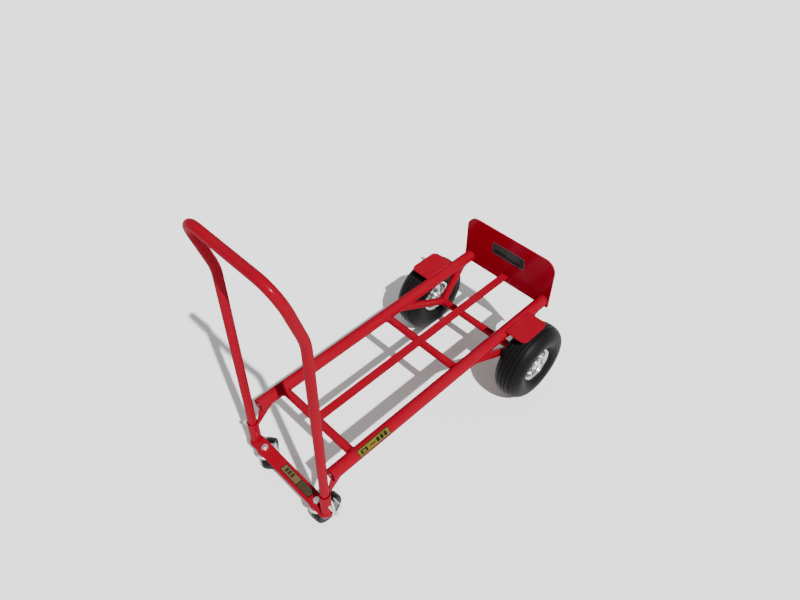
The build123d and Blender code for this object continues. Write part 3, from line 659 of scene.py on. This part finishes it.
def flat_across(node, first, second):
    """Pattern coordinates on a flat label: two of the axes, from the label's own box."""
    low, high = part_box(node)

    def across(graph, place):
        pair = []
        for axis in (first, second):
            index = "XYZ".index(axis)
            shifted = graph.math("SUBTRACT", place[axis], (low[index] + high[index]) / 2)
            pair.append(graph.math("DIVIDE", shifted, high[index] - low[index]))
        return pair

    return across


def wrapped_across(node, rail, start, arc):
    """Pattern coordinates on a label round a rail: the length, and the angle from the rail's top."""
    low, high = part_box(node)
    middle = box_middle(rail)

    def across(graph, place):
        shifted = graph.math("SUBTRACT", place["X"], (low.x + high.x) / 2)
        outboard = graph.math("SUBTRACT", middle[1], place["Y"])
        above = graph.math("SUBTRACT", place["Z"], middle[2])
        angle = graph.math("ARCTAN2", outboard, above)
        from_middle = graph.math("SUBTRACT", angle, radians(start + arc / 2))
        along = graph.math("DIVIDE", shifted, high.x - low.x)
        return [along, graph.math("DIVIDE", from_middle, radians(arc))]

    return across


# ---- finishes by the record's slots ----
def red_enamel():
    colour = bpy.context.scene.truck_finish.enamel
    # The lighter red goes on scuffs and on the edges; on the edges it is partly rubbed paint and partly a painted
    # highlight.
    return finish("red_enamel", colour, 0.92, 0.36, coat=0.11, specular=0.0,
                  grain=(140.0, 900.0, 0.25, 0.012), scuffs=0.25, wear=0.35,
                  rub_and_highlight_colour=(0.34, 0.03, 0.03), roughness_spread=0.06)


def tyre_rubber():
    colour = bpy.context.scene.truck_finish.tyre
    # The edges are painted a lighter grey, partly as rubbed rubber and partly as a painted highlight.
    return finish("tyre_rubber", colour, 0.75, 0.5, specular=0.07, grain=(300.0, 1600.0, 0.5, 0.03), dust=0.6,
                  rub_and_highlight_colour=(0.02, 0.02, 0.02), wear=0.3)


def tube_rubber():
    return finish("tube_rubber", (0.02, 0.02, 0.02), 0.8, 0.45, dust=0.3)


def caster_rubber():
    return finish("caster_rubber", (0.003, 0.0034, 0.0032), 0.8, 0.42, specular=0.07,
                  grain=(200.0, 1200.0, 0.5, 0.02),
                  dust=0.4, scuffs=0.5, rub_and_highlight_colour=(0.02, 0.02, 0.02))


def valve_rubber():
    return finish("valve_rubber", (0.012, 0.012, 0.012), 0.8, 0.4, dust=0.5)


def hub_plastic():
    return finish("hub_plastic", (0.02, 0.02, 0.021), 0.8, 0.36, grain=(500.0, 1500.0, 0.5, 0.02))


def cap_plastic():
    return finish("cap_plastic", (0.015, 0.015, 0.015), 0.8, 0.4, grain=(500.0, 1500.0, 0.5, 0.02))


def sleeve_steel():
    return finish("sleeve_steel", (0.20, 0.20, 0.20), 0.8, 0.42, metallic=1.0,
                  grain=(90.0, 1400.0, 0.6, 0.01))


def zinc(name, gain, roughness):
    colour = [gain * c for c in bpy.context.scene.truck_finish.zinc]
    return finish(name, colour, 0.86, roughness, metallic=1.0, grain=(160.0, 1800.0, 0.5, 0.006), dust=0.6,
                  scuffs=0.5, rub_and_highlight_colour=(0.45, 0.45, 0.46), roughness_spread=0.10)


def rim_zinc():
    return zinc("rim_zinc", 0.74, 0.20)


def hub_zinc():
    return zinc("hub_zinc", 0.62, 0.30)


def bearing_steel():
    return zinc("bearing_steel", 0.75, 0.24)


def hardware_zinc():
    return zinc("hardware_zinc", 1.0, 0.34)


def pin_zinc():
    return finish("pin_zinc", (0.62, 0.62, 0.62), 0.9, 0.35, metallic=0.4,
                  grain=(160.0, 1800.0, 0.5, 0.006), dust=0.6)


def label_grey():
    charcoal, grey, black = (0.011, 0.010, 0.011), (0.045, 0.040, 0.042), (0.002, 0.002, 0.002)
    lines = [(0.04, 0.30 - 0.13 * n, 0.40, 0.028, grey) for n in range(4)]
    blocks = [(0.24, -0.20, 0.17, 0.17, black), (-0.16, -0.28, 0.20, 0.08, black)]
    marks = [(0, 0, 0.485, 0.43, charcoal), *lines, *blocks]
    return label_finish("label_grey", flat_across("toe_plate_label", "Y", "Z"), (0.05, 0.046, 0.048), marks)


def label_tan():
    tan, brown = (0.105, 0.072, 0.032), (0.052, 0.042, 0.022)
    dark, black = (0.020, 0.014, 0.008), (0.004, 0.003, 0.002)
    lines = [(-0.28, 0.26 - 0.13 * n, 0.16, 0.03, dark) for n in range(5)]
    blocks = [(0.17 + 0.10 * n, 0.02, 0.032, 0.26, dark) for n in range(3)]
    marks = [(0.215, 0, 0.27, 0.42, tan), (-0.28, 0, 0.195, 0.42, brown), *blocks, *lines]
    return label_finish("label_tan", flat_across("caster_plate_label", "Y", "X"), black, marks)


def label_yellow():
    yellow, black = (0.115, 0.096, 0.008), (0.004, 0.0035, 0.0015)
    blocks = [(0.12 + 0.12 * n, 0.0, 0.04, 0.26, black) for n in range(3)]
    marks = [(0, 0, 0.482, 0.41, yellow), (-0.32, 0.02, 0.10, 0.24, black), (-0.32, 0.04, 0.05, 0.12, yellow),
             (-0.05, 0.0, 0.09, 0.06, black), *blocks]
    return label_finish("label_yellow", wrapped_across("rail_label", "right_rail", 8.0, 72.0), black, marks)


FINISHES = {make.__name__: make for make in (
    red_enamel, tyre_rubber, tube_rubber, caster_rubber, valve_rubber, hub_plastic, cap_plastic, sleeve_steel,
    rim_zinc, hub_zinc, bearing_steel, hardware_zinc, pin_zinc, label_grey, label_tan, label_yellow,
)}


def slot_material(slot):
    """The material of one of the record's slots, built once."""
    return bpy.data.materials.get(f"{slot}_finish") or FINISHES[slot]()


# ---- operators ----
class TRUCK_OT_finish_frame(bpy.types.Operator):
    """Give every part of the frame the finish of its slot."""

    bl_idname = "truck.finish_frame"
    bl_label = "Finish Frame Parts"

    def execute(self, context):
        for part in frame["record"]["subparts"]:
            materials = frame["nodes"][part["node"]].data.materials
            materials.clear()
            materials.append(slot_material(part["material_slot"]))
        return {"FINISHED"}


class TRUCK_OT_make_tyres(bpy.types.Operator):
    """Make the two moulded tyres."""

    bl_idname = "truck.make_tyres"
    bl_label = "Make Tyres"

    def execute(self, context):
        for side in SIDES:
            low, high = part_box(f"{side}_tyre")
            centre, axis = joint_line(f"{side}_wheel_spin")
            radius, half_width = (high.z - low.z) / 2, (high.y - low.y) / 2
            points = tyre_points(context.scene.truck_tyres, radius, half_width, centre, axis)
            surface_piece(f"{side}_moulded_tyre", [(points, True, True)], slot_material("tyre_rubber"),
                          f"{side}_wheel", [f"{side}_tyre"])
        return {"FINISHED"}


class TRUCK_OT_make_rims(bpy.types.Operator):
    """Make the pressed rim halves."""

    bl_idname = "truck.make_rims"
    bl_label = "Make Rims"

    def execute(self, context):
        for side, sign in SIDES.items():
            centre, axis = joint_line(f"{side}_wheel_spin")
            for half, out_sign in {"outer": sign, "inner": -sign}.items():
                points = rim_points(context.scene.truck_wheels, centre, axis, out_sign)
                surface_piece(f"{side}_pressed_rim_{half}", [(points, True, True)], slot_material("rim_zinc"),
                              f"{side}_wheel", [f"{side}_rim_{half}"])
        return {"FINISHED"}


class TRUCK_OT_make_valves(bpy.types.Operator):
    """Make the valve stems with their fluted caps."""

    bl_idname = "truck.make_valves"
    bl_label = "Make Valve Stems"

    def execute(self, context):
        for side, sign in SIDES.items():
            low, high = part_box(f"{side}_valve_stem")
            foot = box_middle(f"{side}_valve_stem")
            foot[1] = low.y if sign > 0 else high.y
            axis = np.array([0.0, float(sign), 0.0])
            points = stem_points(foot, axis, high.y - low.y, (high.z - low.z) / 2)
            surface_piece(f"{side}_fluted_valve", [(points, True, False)], slot_material("valve_rubber"),
                          f"{side}_wheel", [f"{side}_valve_stem"])
        return {"FINISHED"}


class TRUCK_OT_make_caster_tyres(bpy.types.Operator):
    """Make the casters' solid tyres."""

    bl_idname = "truck.make_caster_tyres"
    bl_label = "Make Caster Tyres"

    def execute(self, context):
        for side in SIDES:
            low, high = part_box(f"{side}_caster_tyre")
            hub_low, hub_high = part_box(f"{side}_caster_hub")
            centre, axis = joint_line(f"{side}_caster_roll")
            radius, inner = (high.z - low.z) / 2, (hub_high.z - hub_low.z) / 2
            points = caster_tyre_points(context.scene.truck_wheels, centre, axis, radius, inner)
            surface_piece(f"{side}_moulded_caster_tyre", [(points, True, True)],
                          slot_material("caster_rubber"), f"{side}_caster_wheel",
                          [f"{side}_caster_tyre"])
        return {"FINISHED"}


class TRUCK_OT_make_bails(bpy.types.Operator):
    """Bend the lock pins' wire bails."""

    bl_idname = "truck.make_bails"
    bl_label = "Make Bails"

    def execute(self, context):
        for side, sign in SIDES.items():
            low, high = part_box(f"{side}_pin_bail")
            eye, _ = joint_line(f"{side}_bail_swing")
            wire = eye[0] - low.x
            corner = np.array([eye[0], eye[1], high.z - wire])
            out = np.array([high.x - wire, eye[1], high.z - wire])
            back = np.array([high.x - wire, low.y if sign > 0 else high.y, high.z - wire])
            points = bail_points(wire, np.array([eye[0], eye[1], low.z]), corner, out, back)
            surface_piece(f"{side}_bent_bail", [(points, False, True)], slot_material("pin_zinc"),
                          f"{side}_pin_bail", [f"{side}_pin_bail"])
        return {"FINISHED"}


class TRUCK_OT_make_king_nuts(bpy.types.Operator):
    """Make the chamfered nuts on the casters' king bolts."""

    bl_idname = "truck.make_king_nuts"
    bl_label = "Make King Nuts"

    def execute(self, context):
        low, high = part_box("caster_king_nuts")
        sheets = []
        for side in SIDES:
            king, _ = joint_line(f"{side}_caster_swivel")
            foot = np.array([king[0], king[1], low.z])
            sheets.append((nut_points(context.scene.truck_wheels, foot, high.z - low.z), True, True))
        surface_piece("chamfered_king_nuts", sheets, slot_material("hardware_zinc"), "frame",
                      ["caster_king_nuts"])
        return {"FINISHED"}


class TRUCK_OT_make_welds(bpy.types.Operator):
    """Lay the weld beads round the frame's joints."""

    bl_idname = "truck.make_welds"
    bl_label = "Make Weld Beads"

    def execute(self, context):
        weld = context.scene.truck_welds
        rail_low, rail_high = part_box("left_rail")
        rail = box_middle("left_rail")
        rail_radius = (rail_high.z - rail_low.z) / 2
        self.rail_welds(weld, rail, rail_radius, rail_high.x)
        self.strut_welds(weld, rail, rail_radius)
        self.caster_end_welds(weld, rail, rail_radius, rail_low.x)
        self.strip_welds(weld)
        return {"FINISHED"}

    def make(self, name, sheets):
        surface_piece(name, sheets, slot_material("red_enamel"), "frame")

    def rail_welds(self, weld, rail, rail_radius, front_x):
        """Cross tubes on the rails, the rails on the toe plate, and the fenders on the rails."""
        low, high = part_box("cross_tubes")
        radius = (high.z - low.z) / 2
        z = (high.z + low.z) / 2
        sheets, plate_sheets, fender_sheets = [], [], []
        for side, sign in SIDES.items():
            axis = np.array([0.0, float(sign), 0.0])
            for x in (low.x + radius, high.x - radius):
                foot = np.array([x, sign * rail[1], z])
                sheets.append(ring_bead(weld, foot, axis, radius, lambda rim: -np.sqrt(
                    rail_radius**2 - (rim[:, 2] + z - rail[2]) ** 2)))
            end = np.array([front_x, sign * rail[1], rail[2]])
            plate_sheets.append(ring_bead(weld, end, np.array([1.0, 0.0, 0.0]), rail_radius,
                                          lambda rim: np.zeros(len(rim))))
            fender_low, fender_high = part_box(f"{side}_fender")
            under = fender_low.z - rail[2]
            y = sign * (rail[1] + np.sqrt(rail_radius**2 - under**2))
            start, end = (fender_low.x, y, fender_low.z), (fender_high.x, y, fender_low.z)
            fender_sheets.append(line_bead(weld, start, end, (0, 1, 0), (0, 0, 1)))
        self.make("cross_tube_welds", sheets)
        self.make("toe_plate_welds", plate_sheets)
        self.make("fender_welds", fender_sheets)

    def strut_welds(self, weld, rail, rail_radius):
        """Both ends of each V strut."""
        tube_low, tube_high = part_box("axle_tube")
        radius = (tube_high.z - tube_low.z) / 2
        axle, _ = joint_line("left_wheel_spin")
        sheets = []
        for sign in SIDES.values():
            foot = np.array([axle[0], sign * rail[1], axle[2]])
            for reach in STRUT_REACH.values():
                along = np.array([reach, 0.0, rail[2] - axle[2]])
                along /= np.linalg.norm(along)
                rise = rail[2] - axle[2]
                sheets.append(ring_bead(weld, foot, along, radius, lambda rim: (
                    rise - rim[:, 2] - np.sqrt(rail_radius**2 - rim[:, 1] ** 2)) / along[2]))
                sheets.append(ring_bead(weld, foot, along, radius, lambda rim: np.sqrt(np.clip(
                    radius**2 - (rim[:, 0] ** 2 + rim[:, 2] ** 2), 0, None))))
        self.make("strut_welds", sheets)

    def caster_end_welds(self, weld, rail, rail_radius, open_x):
        """The sockets on the caster plate, and the gussets on the rails and sockets."""
        plate_low, plate_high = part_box("caster_plate")
        plate_x = (plate_low.x + plate_high.x) / 2
        socket_sheets, gusset_sheets = [], []
        for side, sign in SIDES.items():
            low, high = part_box(f"{side}_socket")
            radius = (high.y - low.y) / 2
            foot = np.array([plate_x, (high.y + low.y) / 2, plate_high.z])
            socket_sheets.append(ring_bead(weld, foot, np.array([0.0, 0.0, 1.0]), radius,
                                           lambda rim: np.zeros(len(rim))))
            gusset_low, gusset_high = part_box(f"{side}_gusset")
            for y, out in ((gusset_low.y, -1.0), (gusset_high.y, 1.0)):
                z = rail[2] - np.sqrt(rail_radius**2 - (y - sign * rail[1]) ** 2)
                start, end = (open_x, y, z), (gusset_high.x, y, z)
                gusset_sheets.append(line_bead(weld, start, end, (0, out, 0), (0, 0, 1)))
                front = np.sqrt(radius**2 - (y - foot[1]) ** 2)
                start = (plate_x + front, y, gusset_low.z)
                lean = (high.z - gusset_low.z) * LEG_SLOPE
                end = (plate_x + front + lean, y, high.z - SOCKET_WELD_MARGIN)
                gusset_sheets.append(line_bead(weld, start, end, (0, out, 0), (1, 0, 0)))
        self.make("socket_welds", socket_sheets)
        self.make("gusset_welds", gusset_sheets)

    def strip_welds(self, weld):
        """The middle strip on the cross tubes and the toe plate."""
        low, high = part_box("deck_strip")
        tube_low, tube_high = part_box("cross_tubes")
        radius = (tube_high.z - tube_low.z) / 2
        sheets = [line_bead(weld, (high.x, low.y, low.z), (high.x, high.y, low.z), (1, 0, 0), (0, 0, 1))]
        for x in (tube_low.x + radius, tube_high.x - radius):
            for y in (low.y, high.y):
                start, end = (x - STRIP_WELD_HALF, y, low.z), (x + STRIP_WELD_HALF, y, low.z)
                sheets.append(line_bead(weld, start, end, (0, 1, 0), (0, 0, 1)))
        self.make("deck_strip_welds", sheets)


class TRUCK_OT_set_stage(bpy.types.Operator):
    """Lay the floor, hang the light and stand the camera."""

    bl_idname = "truck.set_stage"
    bl_label = "Set Stage"

    def execute(self, context):
        scene = context.scene
        stage = scene.truck_stage
        self.lay_floor(scene, stage)
        self.hang_light(scene, stage)
        lens = bpy.data.cameras.new("truck_camera")
        lens.lens = stage.lens
        lens.sensor_width = 36.0
        camera = bpy.data.objects.new("truck_camera", lens)
        camera.location = stage.camera_place
        camera.rotation_euler = stage.camera_turn
        scene.collection.objects.link(camera)
        scene.camera = camera
        return {"FINISHED"}

    def lay_floor(self, scene, stage):
        """A wide flat sheet of points at the lowest height of the truck."""
        half = stage.floor_size / 2
        line = np.linspace(-half, half, FLOOR_LINES)
        x, y = np.meshgrid(line, line, indexing="ij")
        points = np.stack([x, y, np.full_like(x, CAD_BOX[0][2] - FLOOR_GAP)], axis=-1)
        mesh = bpy.data.meshes.new("floor")
        faces = grid_faces(FLOOR_LINES, FLOOR_LINES, False, False, 0)[:, ::-1]
        mesh.from_pydata(points.reshape(-1, 3).tolist(), [], faces.tolist())
        material, graph, place, shader = new_material("pale_floor")
        clouds = graph.noise(place, 3.0, 4.0)
        tint = graph.mix(clouds, rgba(stage.floor_colour), rgba(stage.floor_colour, 0.99))
        graph.tree.links.new(tint, shader.inputs["Base Color"])
        shader.inputs["Roughness"].default_value = 0.9
        shader.inputs["Specular IOR Level"].default_value = 0.1
        mesh.materials.append(material)
        floor = bpy.data.objects.new("floor", mesh)
        scene.collection.objects.link(floor)

    def hang_light(self, scene, stage):
        """One main light from afar, and an even pale sky."""
        lamp = bpy.data.lights.new("main_light", "SUN")
        lamp.energy = stage.sun
        lamp.angle = stage.sun_angle
        light = bpy.data.objects.new("main_light", lamp)
        light.rotation_mode = "QUATERNION"
        light.rotation_quaternion = Vector(stage.sun_direction).to_track_quat("-Z", "Y")
        scene.collection.objects.link(light)
        world = bpy.data.worlds.new("pale_sky")
        world.use_nodes = True
        sky = world.node_tree.nodes["Background"]
        sky.inputs["Color"].default_value = (1.0, 1.0, 1.0, 1.0)
        sky.inputs["Strength"].default_value = stage.sky
        scene.world = world


OPERATORS = (
    TRUCK_OT_finish_frame, TRUCK_OT_make_tyres, TRUCK_OT_make_rims, TRUCK_OT_make_valves,
    TRUCK_OT_make_caster_tyres, TRUCK_OT_make_bails, TRUCK_OT_make_king_nuts, TRUCK_OT_make_welds,
    TRUCK_OT_set_stage,
)


class TRUCK_PT_looks(bpy.types.Panel):
    """Lists the steps that build the looks."""

    bl_label = "Hand Truck"
    bl_idname = "TRUCK_PT_looks"
    bl_space_type = "VIEW_3D"
    bl_region_type = "UI"
    bl_category = "Hand Truck"

    def draw(self, context):
        for operator in OPERATORS:
            self.layout.operator(operator.bl_idname)


SETTINGS = {
    "truck_tyres": TruckTyreSettings,
    "truck_wheels": TruckWheelSettings,
    "truck_welds": TruckWeldSettings,
    "truck_finish": TruckFinishSettings,
    "truck_stage": TruckStageSettings,
}
CLASSES = (*SETTINGS.values(), *OPERATORS, TRUCK_PT_looks)


def register():
    for each in CLASSES:
        bpy.utils.register_class(each)
    for name, settings in SETTINGS.items():
        setattr(bpy.types.Scene, name, PointerProperty(type=settings))


def unregister():
    for name in SETTINGS:
        delattr(bpy.types.Scene, name)
    for each in reversed(CLASSES):
        bpy.utils.unregister_class(each)


def main():
    register()
    bpy.ops.truck.finish_frame()
    bpy.ops.truck.make_tyres()
    bpy.ops.truck.make_rims()
    bpy.ops.truck.make_valves()
    bpy.ops.truck.make_caster_tyres()
    bpy.ops.truck.make_bails()
    bpy.ops.truck.make_king_nuts()
    bpy.ops.truck.make_welds()
    bpy.ops.truck.set_stage()


if __name__ == "__main__":
    main()
